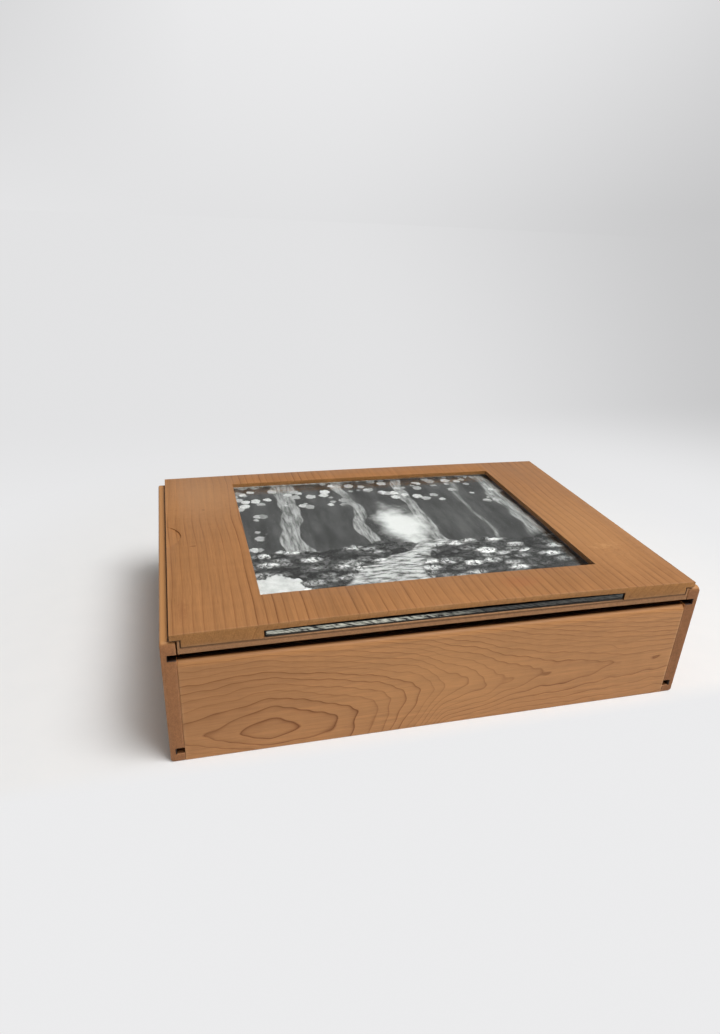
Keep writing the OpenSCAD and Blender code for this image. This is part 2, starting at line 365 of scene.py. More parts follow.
def calc(tree, op, *values):
    return add(tree, "ShaderNodeMath", dict(enumerate(values)), operation=op).outputs[0]


def times(tree, a, b):
    return calc(tree, "MULTIPLY", a, b)


def plus(tree, a, b):
    return calc(tree, "ADD", a, b)


def minus(tree, a, b):
    return calc(tree, "SUBTRACT", a, b)


def swing(tree, value, amount):
    """A value between 0 and 1, made to run about zero and scaled by amount."""
    return times(tree, minus(tree, value, 0.5), amount)


def vec(tree, op, *values):
    n = add(tree, "ShaderNodeVectorMath", dict(enumerate(values)), operation=op)
    return n.outputs["Value"] if op in ("LENGTH", "DOT_PRODUCT") else n.outputs[0]


def parts(tree, vector):
    return add(tree, "ShaderNodeSeparateXYZ", {0: vector}).outputs


def joined(tree, x=0.0, y=0.0, z=0.0):
    return add(tree, "ShaderNodeCombineXYZ", {0: x, 1: y, 2: z}).outputs[0]


def ramp(tree, value, low, high, to_low=0.0, to_high=1.0, smooth=True, clamp=True):
    n = add(tree, "ShaderNodeMapRange", {0: value, 1: low, 2: high, 3: to_low, 4: to_high}, clamp=clamp)
    n.interpolation_type = "SMOOTHSTEP" if smooth else "LINEAR"
    return n.outputs[0]


def mix(tree, factor, a, b, mode="MIX"):
    n = add(tree, "ShaderNodeMix", data_type="RGBA", blend_type=mode, clamp_factor=True)
    for key, value in ((0, factor), (6, a), (7, b)):
        feed(tree, n.inputs[key], value)
    return n.outputs[2]


def blend_values(tree, mask, low, high):
    return add(tree, "ShaderNodeMix", {0: mask, 2: low, 3: high}, data_type="FLOAT").outputs[0]


def grey(tree, tone, green=1.0, blue=1.0):
    """A grey of the given tone, with its green and its blue scaled a little."""
    return add(tree, "ShaderNodeCombineColor",
               {0: tone, 1: times(tree, tone, green), 2: times(tree, tone, blue)}).outputs[0]


def noise_node(tree, vector, scale, detail=2.0, rough=0.5, distortion=0.0):
    return add(tree, "ShaderNodeTexNoise", {"Vector": vector, "Scale": scale, "Detail": detail,
                                            "Roughness": rough, "Distortion": distortion}).outputs


def noise(tree, *settings):
    return noise_node(tree, *settings)[0]


def from_centre(tree, vector, centre, reach):
    """Distance from a centre, where reach is how far 1 is along each axis."""
    return vec(tree, "LENGTH", vec(tree, "DIVIDE", vec(tree, "SUBTRACT", vector, centre), reach))


def bump(tree, shader, height, strength, distance):
    n = add(tree, "ShaderNodeBump", {"Strength": strength, "Distance": distance, "Height": height})
    tree.links.new(n.outputs[0], shader.inputs["Normal"])


def group(name, inputs, outputs):
    """A named node group. An input is a vector, a colour or a number, as its default value is."""
    tree = bpy.data.node_groups.new(name, "ShaderNodeTree")
    for label, default in inputs.items():
        kind = {3: "Vector", 4: "Color"}[len(default)] if isinstance(default, tuple) else "Float"
        socket = tree.interface.new_socket(name=label, in_out="INPUT", socket_type="NodeSocket" + kind)
        socket.default_value = default
    for label, kind in outputs.items():
        tree.interface.new_socket(name=label, in_out="OUTPUT", socket_type="NodeSocket" + kind)
    return tree, tree.nodes.new("NodeGroupInput").outputs, tree.nodes.new("NodeGroupOutput").inputs


def call(tree, name, inputs):
    n = add(tree, "ShaderNodeGroup", node_tree=bpy.data.node_groups[name])
    for key, value in inputs.items():
        feed(tree, n.inputs[key], value)
    return n.outputs


def new_material(name):
    m = bpy.data.materials.new(name)
    m.use_nodes = True
    t = m.node_tree
    t.nodes.clear()
    out = t.nodes.new("ShaderNodeOutputMaterial")
    shader = t.nodes.new("ShaderNodeBsdfPrincipled")
    t.links.new(shader.outputs[0], out.inputs[0])
    pos = t.nodes.new("ShaderNodeTexCoord").outputs["Object"]
    return m, t, shader, out, pos


# Node groups that the materials share

def edge_group():
    """1 on a block's edges, falling to 0 at Width from them: the second smallest of the three
    distances to the block's faces is what tells an edge from a face."""
    t, i, o = group("Edge nearness", {"Position": (0, 0, 0), "Centre": (0, 0, 0),
                                      "Half size": (0.1, 0.1, 0.1), "Width": 0.002}, {"Mask": "Float"})
    off_centre = vec(t, "ABSOLUTE", vec(t, "SUBTRACT", i["Position"], i["Centre"]))
    d = parts(t, vec(t, "SUBTRACT", i["Half size"], off_centre))
    low = calc(t, "MINIMUM", d[0], d[1])
    high = calc(t, "MAXIMUM", d[0], d[1])
    second = calc(t, "MAXIMUM", low, calc(t, "MINIMUM", high, d[2]))
    t.links.new(ramp(t, second, 0.0, i["Width"], 1.0, 0.0), o["Mask"])


def ring_group():
    """Growth-ring number: the distance from the tree's pith over the rings' spacing, with two
    noises that let it wander, slowly and finely, along the board."""
    t, i, o = group("Long grain rings", {"Along": (0, 0, 0), "Pith across": 0.0, "Pith depth": -0.08,
                                         "Spacing": 0.003, "Wander": 1.0, "Seed": 0.0}, {"Rings": "Float"})
    slow = vec(t, "ADD", vec(t, "MULTIPLY", i["Along"], (2.2, 1, 1)), joined(t, i["Seed"], i["Seed"]))
    shift = swing(t, noise(t, slow, 4.0, 2.0), i["Wander"])
    fine = vec(t, "MULTIPLY", i["Along"], (0.35, 1, 1))
    wave = swing(t, noise(t, fine, 45.0, 2.0), times(t, i["Wander"], 0.12))
    s = parts(t, i["Along"])
    across = minus(t, s[1], i["Pith across"])
    depth = minus(t, s[2], i["Pith depth"])
    r = calc(t, "SQRT", plus(t, times(t, across, across), times(t, depth, depth)))
    r = calc(t, "DIVIDE", r, i["Spacing"])
    t.links.new(plus(t, r, times(t, plus(t, shift, wave), 6.0)), o["Rings"])


def spot_group():
    """1 in an oval round Centre, falling to 0 at its edge, which noise makes ragged."""
    t, i, o = group("Spot", {"Position": (0, 0, 0), "Centre": (0, 0, 0), "Reach": (0.01, 0.01, 0.01),
                             "Ragged": 0.3, "Soft": 0.5}, {"Mask": "Float"})
    d = from_centre(t, i["Position"], i["Centre"], i["Reach"])
    rough = swing(t, noise(t, i["Position"], 350.0, 2.0), i["Ragged"])
    d = plus(t, d, times(t, rough, 3.0))
    t.links.new(ramp(t, d, 1.0, minus(t, 1.0, i["Soft"])), o["Mask"])


def block_group():
    """1 inside the block from Low to High, with an edge that is Soft wide on both sides."""
    t, i, o = group("Inside a block", {"Position": (0, 0, 0), "Low": (0, 0, 0), "High": (0.01, 0.01, 0.01),
                                       "Soft": 0.0003}, {"Mask": "Float"})
    low = parts(t, vec(t, "SUBTRACT", i["Position"], i["Low"]))
    high = parts(t, vec(t, "SUBTRACT", i["High"], i["Position"]))
    d = calc(t, "MINIMUM", low[0], high[0])
    for k in (1, 2):
        d = calc(t, "MINIMUM", d, calc(t, "MINIMUM", low[k], high[k]))
    t.links.new(ramp(t, d, times(t, i["Soft"], -1.0), i["Soft"]), o["Mask"])


def backdrop_group():
    """The grey wall behind the box as the camera sees it: darker to the right, changing upwards,
    and a little lighter where the floor is Near."""
    t, i, o = group("Backdrop", {"Sideways": 0.0, "Up": 0.0, "Near": 0.0}, {"Color": "Color"})
    sideways = calc(t, "MAXIMUM", calc(t, "MINIMUM", i["Sideways"], 1.0), -0.6)
    right = ramp(t, sideways, 0.15, 0.9, 0.0, 0.2)
    right = times(t, right, ramp(t, i["Up"], 0.0, 0.2, 1.0, 0.2, smooth=False))
    bend = calc(t, "POWER", calc(t, "ABSOLUTE", minus(t, sideways, 0.25)), 2.0)
    lift = times(t, i["Up"], minus(t, 0.35, times(t, bend, 2.0)))
    left = calc(t, "MAXIMUM", 0.0, minus(t, 0.05, sideways))
    lift = minus(t, lift, times(t, left, times(t, i["Up"], 2.1)))
    tone = plus(t, minus(t, 0.765, right), lift)
    tone = calc(t, "MAXIMUM", plus(t, tone, times(t, i["Near"], 0.07)), 0.5)
    t.links.new(grey(t, tone, blue=1.01), o["Color"])


def grain_group():
    """Cherry's colour from the ring number: a thin dark line where each ring ends, of another
    strength for every ring, with fibres, pores, clouds and curl, and speckled end grain."""
    t, i, o = group("Cherry grain", {"Rings": 0.0, "Along": (0, 0, 0), "End": 0.0,
                                     "Light": (0.5, 0.25, 0.12, 1), "Dark": (0.25, 0.1, 0.04, 1),
                                     "Line strength": 0.7, "Cloud": 0.12, "Seed": 0.0},
                    {"Color": "Color", "Roughness": "Float", "Height": "Float"})
    f = calc(t, "FRACT", i["Rings"])
    ring = calc(t, "FLOOR", i["Rings"])
    chance, tint = [add(t, "ShaderNodeTexWhiteNoise", {"W": plus(t, times(t, ring, k), i["Seed"])},
                        noise_dimensions="1D").outputs[0] for k in (1.0, 1.7)]
    patch = ramp(t, noise(t, i["Along"], 14.0, 2.0), 0.35, 0.65, 0.55, 1.25)
    strength = times(t, calc(t, "MULTIPLY_ADD", calc(t, "POWER", chance, 1.4), 0.75, 0.38), patch)
    strength = times(t, strength, minus(t, 1.0, times(t, i["End"], 0.6)))
    line = calc(t, "MAXIMUM", calc(t, "POWER", f, 15.0), ramp(t, f, 0.0, 0.06, 0.60, 0.0))
    line = plus(t, line, times(t, calc(t, "POWER", f, 2.2), 0.22))
    line = times(t, line, times(t, strength, i["Line strength"]))

    fibre = vec(t, "MULTIPLY", i["Along"], (0.03, 1, 1))
    fine = noise(t, fibre, 1900.0, 3.0, 0.6)
    mid = noise(t, fibre, 420.0, 3.0, 0.55)
    clouds = vec(t, "ADD", vec(t, "MULTIPLY", i["Along"], (0.45, 1, 1)), joined(t, z=i["Seed"]))
    cloud = noise(t, clouds, 22.0, 3.0, 0.55)
    wide = noise(t, clouds, 6.0, 1.0)
    curl = noise(t, vec(t, "MULTIPLY", i["Along"], (1.6, 0.5, 1)), 90.0, 1.0)
    tone = swing(t, tint, 0.05)
    for pattern, amount in ((fine, 0.50), (mid, 0.46), (cloud, i["Cloud"]), (wide, i["Cloud"]), (curl, 0.12)):
        tone = plus(t, tone, swing(t, pattern, amount))
    scaled = {0: mix(t, line, i["Light"], i["Dark"]), "Scale": plus(t, tone, 1.0)}
    colour = add(t, "ShaderNodeVectorMath", scaled, operation="SCALE").outputs[0]
    pore = ramp(t, noise(t, fibre, 2600.0, 1.0), 0.66, 0.74)
    colour = mix(t, times(t, pore, 0.25), colour, i["Dark"])
    speckle = ramp(t, noise(t, i["Along"], 1500.0, 2.0), 0.35, 0.7, 0.0, 0.30)
    colour = mix(t, times(t, i["End"], speckle), colour, (0.10, 0.055, 0.02, 1))
    t.links.new(colour, o["Color"])

    rough = plus(t, plus(t, 0.42, times(t, fine, 0.12)), times(t, i["End"], 0.2))
    t.links.new(plus(t, rough, times(t, cloud, 0.06)), o["Roughness"])
    height = plus(t, times(t, fine, 0.5), times(t, mid, 0.4))
    height = minus(t, height, times(t, pore, 0.5))
    t.links.new(minus(t, height, times(t, line, 0.3)), o["Height"])


# Wood

def grain_vector(t, pos, axis):
    """Position with the wood's length first, then the way across the face, then the depth."""
    s = parts(t, pos)
    order = {"x": (0, 2, 1), "y": (1, 0, 2), "z": (2, 0, 1)}[axis]
    return joined(t, *[s[k] for k in order])


def spot(t, pos, centre, reach, ragged, soft):
    return call(t, "Spot", {"Position": pos, "Centre": centre, "Reach": reach, "Ragged": ragged,
                            "Soft": soft})["Mask"]


def tinted(t, pos, colour, marks, painted_light_and_joints):
    """Oval marks (centre, reach, tint, amount, ragged, soft), then blocks (low, high, tint, amount, soft)."""
    for centre, reach, tint, amount, ragged, soft in marks:
        mask = spot(t, pos, centre, reach, ragged, soft)
        colour = mix(t, times(t, mask, amount), colour, tint)
    # The blocks hold painted shade, painted highlights and dark joints
    for low, high, tint, amount, soft in painted_light_and_joints:
        mask = call(t, "Inside a block", {"Position": pos, "Low": low, "High": high, "Soft": soft})["Mask"]
        colour = mix(t, times(t, mask, amount), colour, tint)
    return colour


def worn_edges(t, pos, colour, rough, low, high):
    """Paler and smoother wood in patches along the edges of the block from low to high."""
    low, high = np.array(low), np.array(high)
    near = call(t, "Edge nearness", {"Position": pos, "Centre": tuple((low + high) / 2),
                                     "Half size": tuple((high - low) / 2), "Width": 0.0022})["Mask"]
    patchy = times(t, near, ramp(t, noise(t, pos, 60.0, 3.0), 0.35, 0.75, 0.3, 1.0))
    colour = mix(t, times(t, patchy, 0.25), colour, mix(t, 0.4, colour, (0.75, 0.5, 0.3, 1)))
    return colour, minus(t, rough, times(t, patchy, 0.08))


def cherry(name, axis, light, dark, seed, pith=(0.0, -0.08), spacing=0.003, wander=1.0, lines=0.7, cloud=0.12,
           box=None, end_tint=None, rings=None, curl=None, marks=(), painted_light_on_top=None, painted_light_and_joints=()):
    """Oiled wood with its length along axis. The rings come from a vertex attribute, or from a pith
    at a place across and in depth; curl is a spot (centre, reach, rings) that turns them."""
    m, t, shader, out, pos = new_material(name)
    along = grain_vector(t, pos, axis)
    if rings:
        ring = add(t, "ShaderNodeAttribute", attribute_name=rings).outputs["Fac"]
    else:
        ring = call(t, "Long grain rings", {"Along": along, "Pith across": pith[0], "Pith depth": pith[1],
                                            "Spacing": spacing, "Wander": wander, "Seed": seed})["Rings"]
    if curl:
        centre, reach, turned = curl
        ring = plus(t, ring, times(t, spot(t, pos, centre, reach, 0.12, 1.0), turned))
    facing = parts(t, add(t, "ShaderNodeTexCoord").outputs["Normal"])
    end = ramp(t, calc(t, "ABSOLUTE", facing["xyz".index(axis)]), 0.6, 0.9)
    grain = call(t, "Cherry grain", {"Rings": ring, "Along": along, "End": end, "Light": light, "Dark": dark,
                                     "Line strength": lines, "Cloud": cloud, "Seed": seed})
    colour, rough = grain["Color"], grain["Roughness"]
    if end_tint:
        colour = mix(t, end, colour, mix(t, 1.0, colour, end_tint, "MULTIPLY"))
    # Painted light: faces that look up, above the groove, are made lighter
    if painted_light_on_top:
        above_groove = ramp(t, parts(t, pos)[2], WALL_TOP - 0.0049, WALL_TOP - 0.0034)
        colour = mix(t, times(t, ramp(t, facing[2], 0.25, 0.9), above_groove), colour, painted_light_on_top)
    colour = tinted(t, pos, colour, marks, painted_light_and_joints)
    if box:
        colour, rough = worn_edges(t, pos, colour, rough, *box)
    t.links.new(colour, shader.inputs["Base Color"])
    t.links.new(rough, shader.inputs["Roughness"])
    bump(t, shader, grain["Height"], 0.12, 0.0004)
    shader.inputs["Specular IOR Level"].default_value = 0.35
    return m


# The print, the clear sheet and the plain materials

def cloudy_oval(t, flat, centre, reach, scale, detail, amount):
    """1 in the middle of an oval, 0 at its edge, with noise that breaks the edge up."""
    inside = minus(t, 1.0, from_centre(t, flat, centre, reach))
    return plus(t, inside, swing(t, noise(t, flat, scale, detail, 0.6), amount))


def print_wood(t, at, u, v, wander):
    """Dark undergrowth with paler, slightly leaning trunks and a bank of mist between them."""
    dark = ramp(t, noise(t, at(14.0, 3.0), 1.0, 5.0, 0.65), 0.3, 0.75, 0.022, 0.085)
    leaning = joined(t, plus(t, times(t, u, 9.0), times(t, wander, 1.4)))
    trunk = ramp(t, noise(t, leaning, 1.0, 1.0), 0.54, 0.575)
    trunk = times(t, trunk, ramp(t, plus(t, v, times(t, wander, 0.3)), 0.30, 0.36))
    bark = ramp(t, noise(t, at(70.0, 9.0), 1.0, 4.0, 0.7), 0.3, 0.7, 0.08, 0.42)
    tone = blend_values(t, trunk, dark, bark)
    mist = cloudy_oval(t, at(1.0, 1.0), (0.66, 0.5, 0), (0.13, 0.26, 1), 9.0, 4.0, 1.3)
    return blend_values(t, ramp(t, mist, 0.0, 0.7, 0.0, 0.95), tone, 0.72)


def print_leaves(t, flat, u, v, tone):
    """Small leaves, each of its own grey, that hang in from the top and down the left side."""
    ruffle = vec(t, "MULTIPLY", noise_node(t, flat, 60.0)[1], (0.02, 0.02, 0))
    cells = add(t, "ShaderNodeTexVoronoi", {"Vector": vec(t, "ADD", flat, ruffle), "Scale": 19.0}).outputs
    pick = add(t, "ShaderNodeSeparateColor", {0: cells["Color"]}).outputs
    high = plus(t, v, times(t, noise(t, flat, 4.0, 2.0), 0.55))
    hanging = ramp(t, plus(t, high, ramp(t, u, 0.16, 0.02, 0.0, 0.42)), 1.02, 1.08)
    leaf = times(t, ramp(t, cells["Distance"], 0.46, 0.38), hanging)
    leaf = times(t, leaf, ramp(t, pick[1], 0.22, 0.32))
    veins = ramp(t, noise(t, flat, 90.0, 3.0, 0.6), 0.35, 0.65, 0.75, 1.1)
    return blend_values(t, leaf, tone, times(t, calc(t, "MULTIPLY_ADD", pick[0], 0.40, 0.30), veins))


def print_bank(t, at, u, v, wander, tone):
    """A stony bank along the bottom, a stream with foam that runs up through it, and a boulder at
    the lower left."""
    flat = at(1.0, 1.0)
    bank = calc(t, "MULTIPLY_ADD", noise(t, at(1.0, 0.0, 2.0), 3.4, 4.0, 0.6), 0.30, 0.20)
    low = ramp(t, minus(t, bank, v), -0.006, 0.006)
    stones = add(t, "ShaderNodeTexVoronoi", {"Vector": at(1.0, 1.9), "Scale": 12.0}).outputs
    shade = add(t, "ShaderNodeSeparateColor", {0: stones["Color"]}).outputs
    stone = times(t, ramp(t, stones["Distance"], 0.62, 0.25, 0.12, 1.0),
                  calc(t, "MULTIPLY_ADD", shade[0], 0.40, 0.04))
    grit = ramp(t, noise(t, flat, 42.0, 7.0, 0.85, 0.5), 0.42, 0.58, 0.15, 2.6)
    tone = blend_values(t, low, tone, times(t, stone, grit))
    centre = plus(t, calc(t, "MULTIPLY_ADD", v, 0.9, 0.42), times(t, wander, 0.5))
    off = calc(t, "ABSOLUTE", minus(t, times(t, u, PRINT_SHAPE), centre))
    wide = calc(t, "MULTIPLY_ADD", v, -0.22, 0.14)
    stream = times(t, ramp(t, minus(t, wide, off), -0.012, 0.012), low)
    foam = ramp(t, noise(t, at(16.0, 60.0), 1.0, 5.0, 0.7), 0.36, 0.60, 0.06, 0.56)
    tone = blend_values(t, stream, tone, foam)
    boulder = cloudy_oval(t, flat, (0.07, 0.05, 0), (0.10, 0.13, 1), 12.0, 3.0, 0.9)
    lichen = ramp(t, noise(t, flat, 24.0, 4.0, 0.7), 0.3, 0.7, 0.48, 0.66)
    return blend_values(t, ramp(t, boulder, 0.0, 0.05), tone, lichen)


def print_material():
    """A generic black and white print of a stream in a wood, with u across and v up the window.
    Towards its front edge, hidden under the lid's front rail, it fades to black as painted shade."""
    m, t, shader, out, pos = new_material("black and white print")
    s = parts(t, pos)
    u = ramp(t, s[0], WINDOW[0], WINDOW[1], smooth=False)
    v = ramp(t, s[1], WINDOW[2], WINDOW[3], smooth=False, clamp=False)

    def at(x_scale, y_scale, shift=0.0):
        return joined(t, calc(t, "MULTIPLY_ADD", u, PRINT_SHAPE * x_scale, shift), times(t, v, y_scale))

    wander = minus(t, noise(t, at(1.0, 1.0, 4.0), 3.0, 2.0), 0.5)
    tone = print_wood(t, at, u, v, wander)
    tone = print_leaves(t, at(1.0, 1.0), u, v, tone)
    tone = print_bank(t, at, u, v, wander, tone)
    grain = noise(t, pos, 2600.0, 1.0)
    tone = times(t, tone, calc(t, "MULTIPLY_ADD", grain, 0.4, 0.8))
    # Painted shade: the print fades to black under the lid's front rail
    tone = times(t, tone, ramp(t, v, -0.15, -0.11, 0.06, 1.0))
    t.links.new(grey(t, tone, blue=0.98), shader.inputs["Base Color"])
    t.links.new(calc(t, "MULTIPLY_ADD", grain, 0.1, 0.5), shader.inputs["Roughness"])
    shader.inputs["Specular IOR Level"].default_value = 0.2
    bump(t, shader, noise(t, pos, 300.0, 2.0), 0.05, 0.0003)
    return m


def clear_material():
    """A clear sheet whose sawn edges scatter light. Its front edge has a painted glow in streaks along the
    saw marks, brighter on the left, and its colour there is painted shade, darkest at the right. Light on its
    way to the print goes straight through."""
    m, t, shader, out, pos = new_material("clear sheet")
    shader.inputs["Transmission Weight"].default_value = 1.0
    shader.inputs["IOR"].default_value = 1.49
    facing = parts(t, add(t, "ShaderNodeTexCoord").outputs["Normal"])
    x, _, z = parts(t, pos)
    cut_edge = ramp(t, calc(t, "ABSOLUTE", facing[2]), 0.9, 0.3)
    front = ramp(t, facing[1], -0.6, -0.9)
    sawn = noise(t, pos, 700.0, 3.0)
    rough = calc(t, "MULTIPLY_ADD", cut_edge, times(t, sawn, 0.35), times(t, noise(t, pos, 30.0), 0.03))
    t.links.new(rough, shader.inputs["Roughness"])
    # Painted light: streaks of emission on the front edge, brighter to the left, stand in for light carried
    # along the sheet
    slanted = joined(t, vec(t, "DOT_PRODUCT", pos, (0.12, 0, -0.04)),
                     vec(t, "DOT_PRODUCT", pos, (0.30, 0, 0.95)))
    painted_glow_streaks = ramp(t, noise(t, slanted, 1100.0, 3.0, 0.6), 0.38, 0.62, 0.0, 0.50)
    painted_glow_streaks = plus(t, painted_glow_streaks, ramp(t, noise(t, pos, 130.0, 2.0), 0.56, 0.72, 0.0, 0.25))
    off_side = ramp(t, x, PANE_LOW[0] + 0.0001, PANE_LOW[0] + 0.001)
    off_rim = times(t, off_side, ramp(t, z, PANE_HIGH[2] + 0.00005, PANE_HIGH[2] - 0.00075))
    to_left = ramp(t, x, 0.03, -0.04, 0.09, 1.0)
    glow = times(t, times(t, painted_glow_streaks, to_left), times(t, front, off_rim))
    t.links.new(grey(t, glow, blue=0.84), shader.inputs["Emission Color"])
    shader.inputs["Emission Strength"].default_value = 1.0
    # Painted shade: the front edge's base colour is dark, darkest to the right
    painted_edge_shade = times(t, off_rim, ramp(t, x, 0.02, -0.03, 0.02, 0.30))
    t.links.new(grey(t, blend_values(t, front, 0.95, painted_edge_shade), green=1.01), shader.inputs["Base Color"])
    bump(t, shader, times(t, cut_edge, sawn), 0.1, 0.0002)
    clear = add(t, "ShaderNodeBsdfTransparent", {0: (0.92, 0.93, 0.92, 1)})
    shadow_ray = add(t, "ShaderNodeLightPath").outputs["Is Shadow Ray"]
    mixed = add(t, "ShaderNodeMixShader", {0: shadow_ray, 1: shader.outputs[0], 2: clear.outputs[0]})
    t.links.new(mixed.outputs[0], out.inputs[0])
    return m


def plain_detail(name, base, dark, rough, metallic=0.0, scale=300.0, stretch=(1, 1, 1)):
    """One colour with darker specks and clouds, for the card, the dowels and the screws."""
    m, t, shader, out, pos = new_material(name)
    speck = noise(t, vec(t, "MULTIPLY", pos, stretch), scale, 4.0, 0.6)
    cloud = noise(t, pos, 25.0, 3.0)
    colour = mix(t, ramp(t, speck, 0.3, 0.7, 0.0, 0.6), base, dark)
    colour = mix(t, ramp(t, cloud, 0.35, 0.75, 0.0, 0.35), colour, dark)
    t.links.new(colour, shader.inputs["Base Color"])
    t.links.new(calc(t, "MULTIPLY_ADD", speck, 0.2, rough), shader.inputs["Roughness"])
    shader.inputs["Metallic"].default_value = metallic
    bump(t, shader, speck, 0.1, 0.0003)
    return m


# The box and its lid

def both_sides(x0, x1, z0, z1, amount, soft, back=PAST_ENDS):
    """A dark strip from the box's front as far as back, at the same place on both sides."""
    strips = []
    for side in (-1, 1):
        left, right = sorted((side * x0, side * x1))
        strips.append(((left, -PAST_ENDS, z0), (right, back, z1), SHADE, amount, soft))
    return strips


def wall_painted_shade():
    """Painted shade: near-black in the front of a side wall's two grooves and in the crease under the lid's
    lip, and a painted shadow along the line on the wall's top where the lid's edge runs."""
    groove = (INNER_X + 0.0002, INNER_X + 0.006)
    top = (WALL_TOP - 0.0004, WALL_TOP + 0.001)
    lid_edge = (HALF_LID - 0.0005, HALF_LID + 0.001)
    return (both_sides(*groove, GROOVE_Z - 0.0004, GROOVE_Z + GROOVE_H, 1.0, 0.0003, MOUTH_END)
            + both_sides(*groove, BOTTOM_Z, BOTTOM_Z + BOTTOM_GROOVE_H, 1.0, 0.0002, MOUTH_END)
            + both_sides(JOINT_X + 0.0001, lid_edge[1], *top, 0.95, 0.0003, LIP_END)
            + both_sides(*lid_edge, *top, 0.85, 0.0003))


def lid_joint():
    """The dark joint between the lid's two boards: upright at the sides, level between them."""
    x = JOINT_X + 0.0001
    level = ((-x, -PAST_ENDS, FRAME_Z - 0.0012), (x, PAST_ENDS, FRAME_Z + 0.0001), SHADE, 0.55, 0.0004)
    return [*both_sides(JOINT_X, JOINT_X + 0.0008, FRAME_Z - 0.0008, LIP_Z, 0.85, 0.0003), level]


def place(obj, material, body, node):
    """Give a piece its material and the body it moves with, and hide the CAD node it stands for."""
    obj.data.materials.append(material)
    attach(obj, body)
    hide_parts(node)


def dress(node, material):
    """Give a CAD piece that stays as it is a material of its own."""
    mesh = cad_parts[node].data
    mesh.materials.clear()
    mesh.materials.append(material)


def build_walls():
    end_tints = {-1: srgb(238, 236, 240), 1: srgb(226, 222, 226)}
    cuts = (0.0010, 0.0013, 0.0017, 0.0022, 0.0028, 0.0035, 0.0042)
    for side, label in ((-1, "left"), (1, "right")):
        wall = swept_board("wall_" + label, wall_outline(side), FRONT_Y, BACK_Y, (0, 2, 1), ease=0.0008,
                           near_ends=cuts)
        round_top_ends(wall, WALL_TOP, 0.0036)
        low_x, high_x = sorted((side * INNER_X, side * OUTER_X))
        wood = cherry("cherry wall " + label, "y", srgb(174, 119, 74), srgb(122, 72, 36), seed=11.0 + side,
                      pith=(side * 0.1, 0.02), spacing=0.0034, wander=0.6, lines=0.5,
                      end_tint=end_tints[side], painted_light_on_top=srgb(190, 136, 84), painted_light_and_joints=wall_painted_shade(),
                      box=((low_x, FRONT_Y, 0), (high_x, BACK_Y, WALL_H)))
        place(wall, wood, "box", "side_wall_" + label)


def build_front_panel(light, dark):
    panel = swept_board("panel_front", panel_outline(-1, FRONT_H), -INNER_X, INNER_X, (1, 2, 0), ease=0.0003,
                        steps=2, spacing=0.001, step=0.001)
    set_rings(panel, panel_rings(points(panel)))
    darker_left = ((-0.155, FRONT_Y, 0.045), (0.100, 0.060, 0.070), srgb(150, 100, 58), 0.35, 0.1, 1.0)
    lighter_middle = ((0.010, FRONT_Y, 0.040), (0.110, 0.060, 0.060), srgb(206, 150, 94), 0.30, 0.1, 1.0)
    x, above = PAST_SIDES, FRONT_H + 0.0112
    # Painted highlight on the front of the rounded top, and painted shade on its back half and the inner face
    # just under it
    painted_highlight_crest = ((-x, FRONT_Y - 0.002, FRONT_H - 0.0018), (x, FRONT_Y + 0.0026, above),
                    srgb(222, 160, 100), 0.24, 0.0007)
    painted_shade_behind_crest = ((-x, FRONT_Y + 0.0031, FRONT_H - 0.0013), (x, 0, above), SHADE, 1.0, 0.0007)
    wood = cherry("cherry front panel", "x", light, dark, rings="rings", lines=0.88, seed=190.0,
                  marks=[darker_left, lighter_middle], painted_light_and_joints=[painted_highlight_crest, painted_shade_behind_crest],
                  box=((-INNER_X, FRONT_Y, 0), (INNER_X, FRONT_Y + PANEL_T, FRONT_H)))
    place(panel, wood, "box", "front_panel")


def build_back_and_bottom(light, dark):
    panel = swept_board("panel_back", panel_outline(1, BACK_H), -INNER_X, INNER_X, (1, 2, 0), ease=0.0003,
                        steps=2)
    wood = cherry("cherry back panel", "x", light, dark, pith=(0.03, 0.06), spacing=0.0028, seed=5.0,
                  box=((-INNER_X, BACK_Y - PANEL_T, 0), (INNER_X, BACK_Y, BACK_H)))
    place(panel, wood, "box", "back_panel")
    board = eased_copy("bottom_board", "bottom_panel", 0.0003, 2)
    plywood = cherry("plywood bottom", "x", srgb(205, 165, 118), srgb(160, 115, 72), pith=(0.3, -0.02),
                     spacing=0.012, seed=8.0, lines=0.35)
    place(board, plywood, "box", "bottom_panel")


def lid_marks():
    """Two gum flecks at the left, a red streak in front, the pale curl with its knot and the paler
    sapwood at the right, paler wood behind and a darker rim at the left front."""
    gum, knot = srgb(110, 62, 30), srgb(140, 88, 48)
    return [((-0.1655, -0.013, 0.0985), (0.0030, 0.0012, 0.01), gum, 0.7, 0.5, 0.6),
            ((-0.154, 0.054, 0.0985), (0.0016, 0.0022, 0.01), gum, 0.55, 0.5, 0.6),
            ((0.0557, -0.110, 0.1), (0.022, 0.012, 0.01), srgb(172, 100, 60), 0.35, 0.5, 1.0),
            ((0.150, -0.066, 0.099), (0.016, 0.006, 0.01), srgb(204, 152, 100), 0.5, 0.8, 1.0),
            ((0.157, -0.075, 0.099), (0.0035, 0.0022, 0.01), knot, 0.5, 0.5, 0.8),
            ((0.150, -0.030, 0.099), (0.060, 0.120, 0.05), srgb(200, 148, 98), 0.40, 0.2, 1.0),
            ((-0.150, 0.085, 0.099), (0.050, 0.080, 0.05), srgb(196, 145, 98), 0.45, 0.2, 1.0),
            ((-0.176, -0.105, 0.098), (0.006, 0.020, 0.01), srgb(140, 88, 54), 0.35, 0.5, 1.0)]


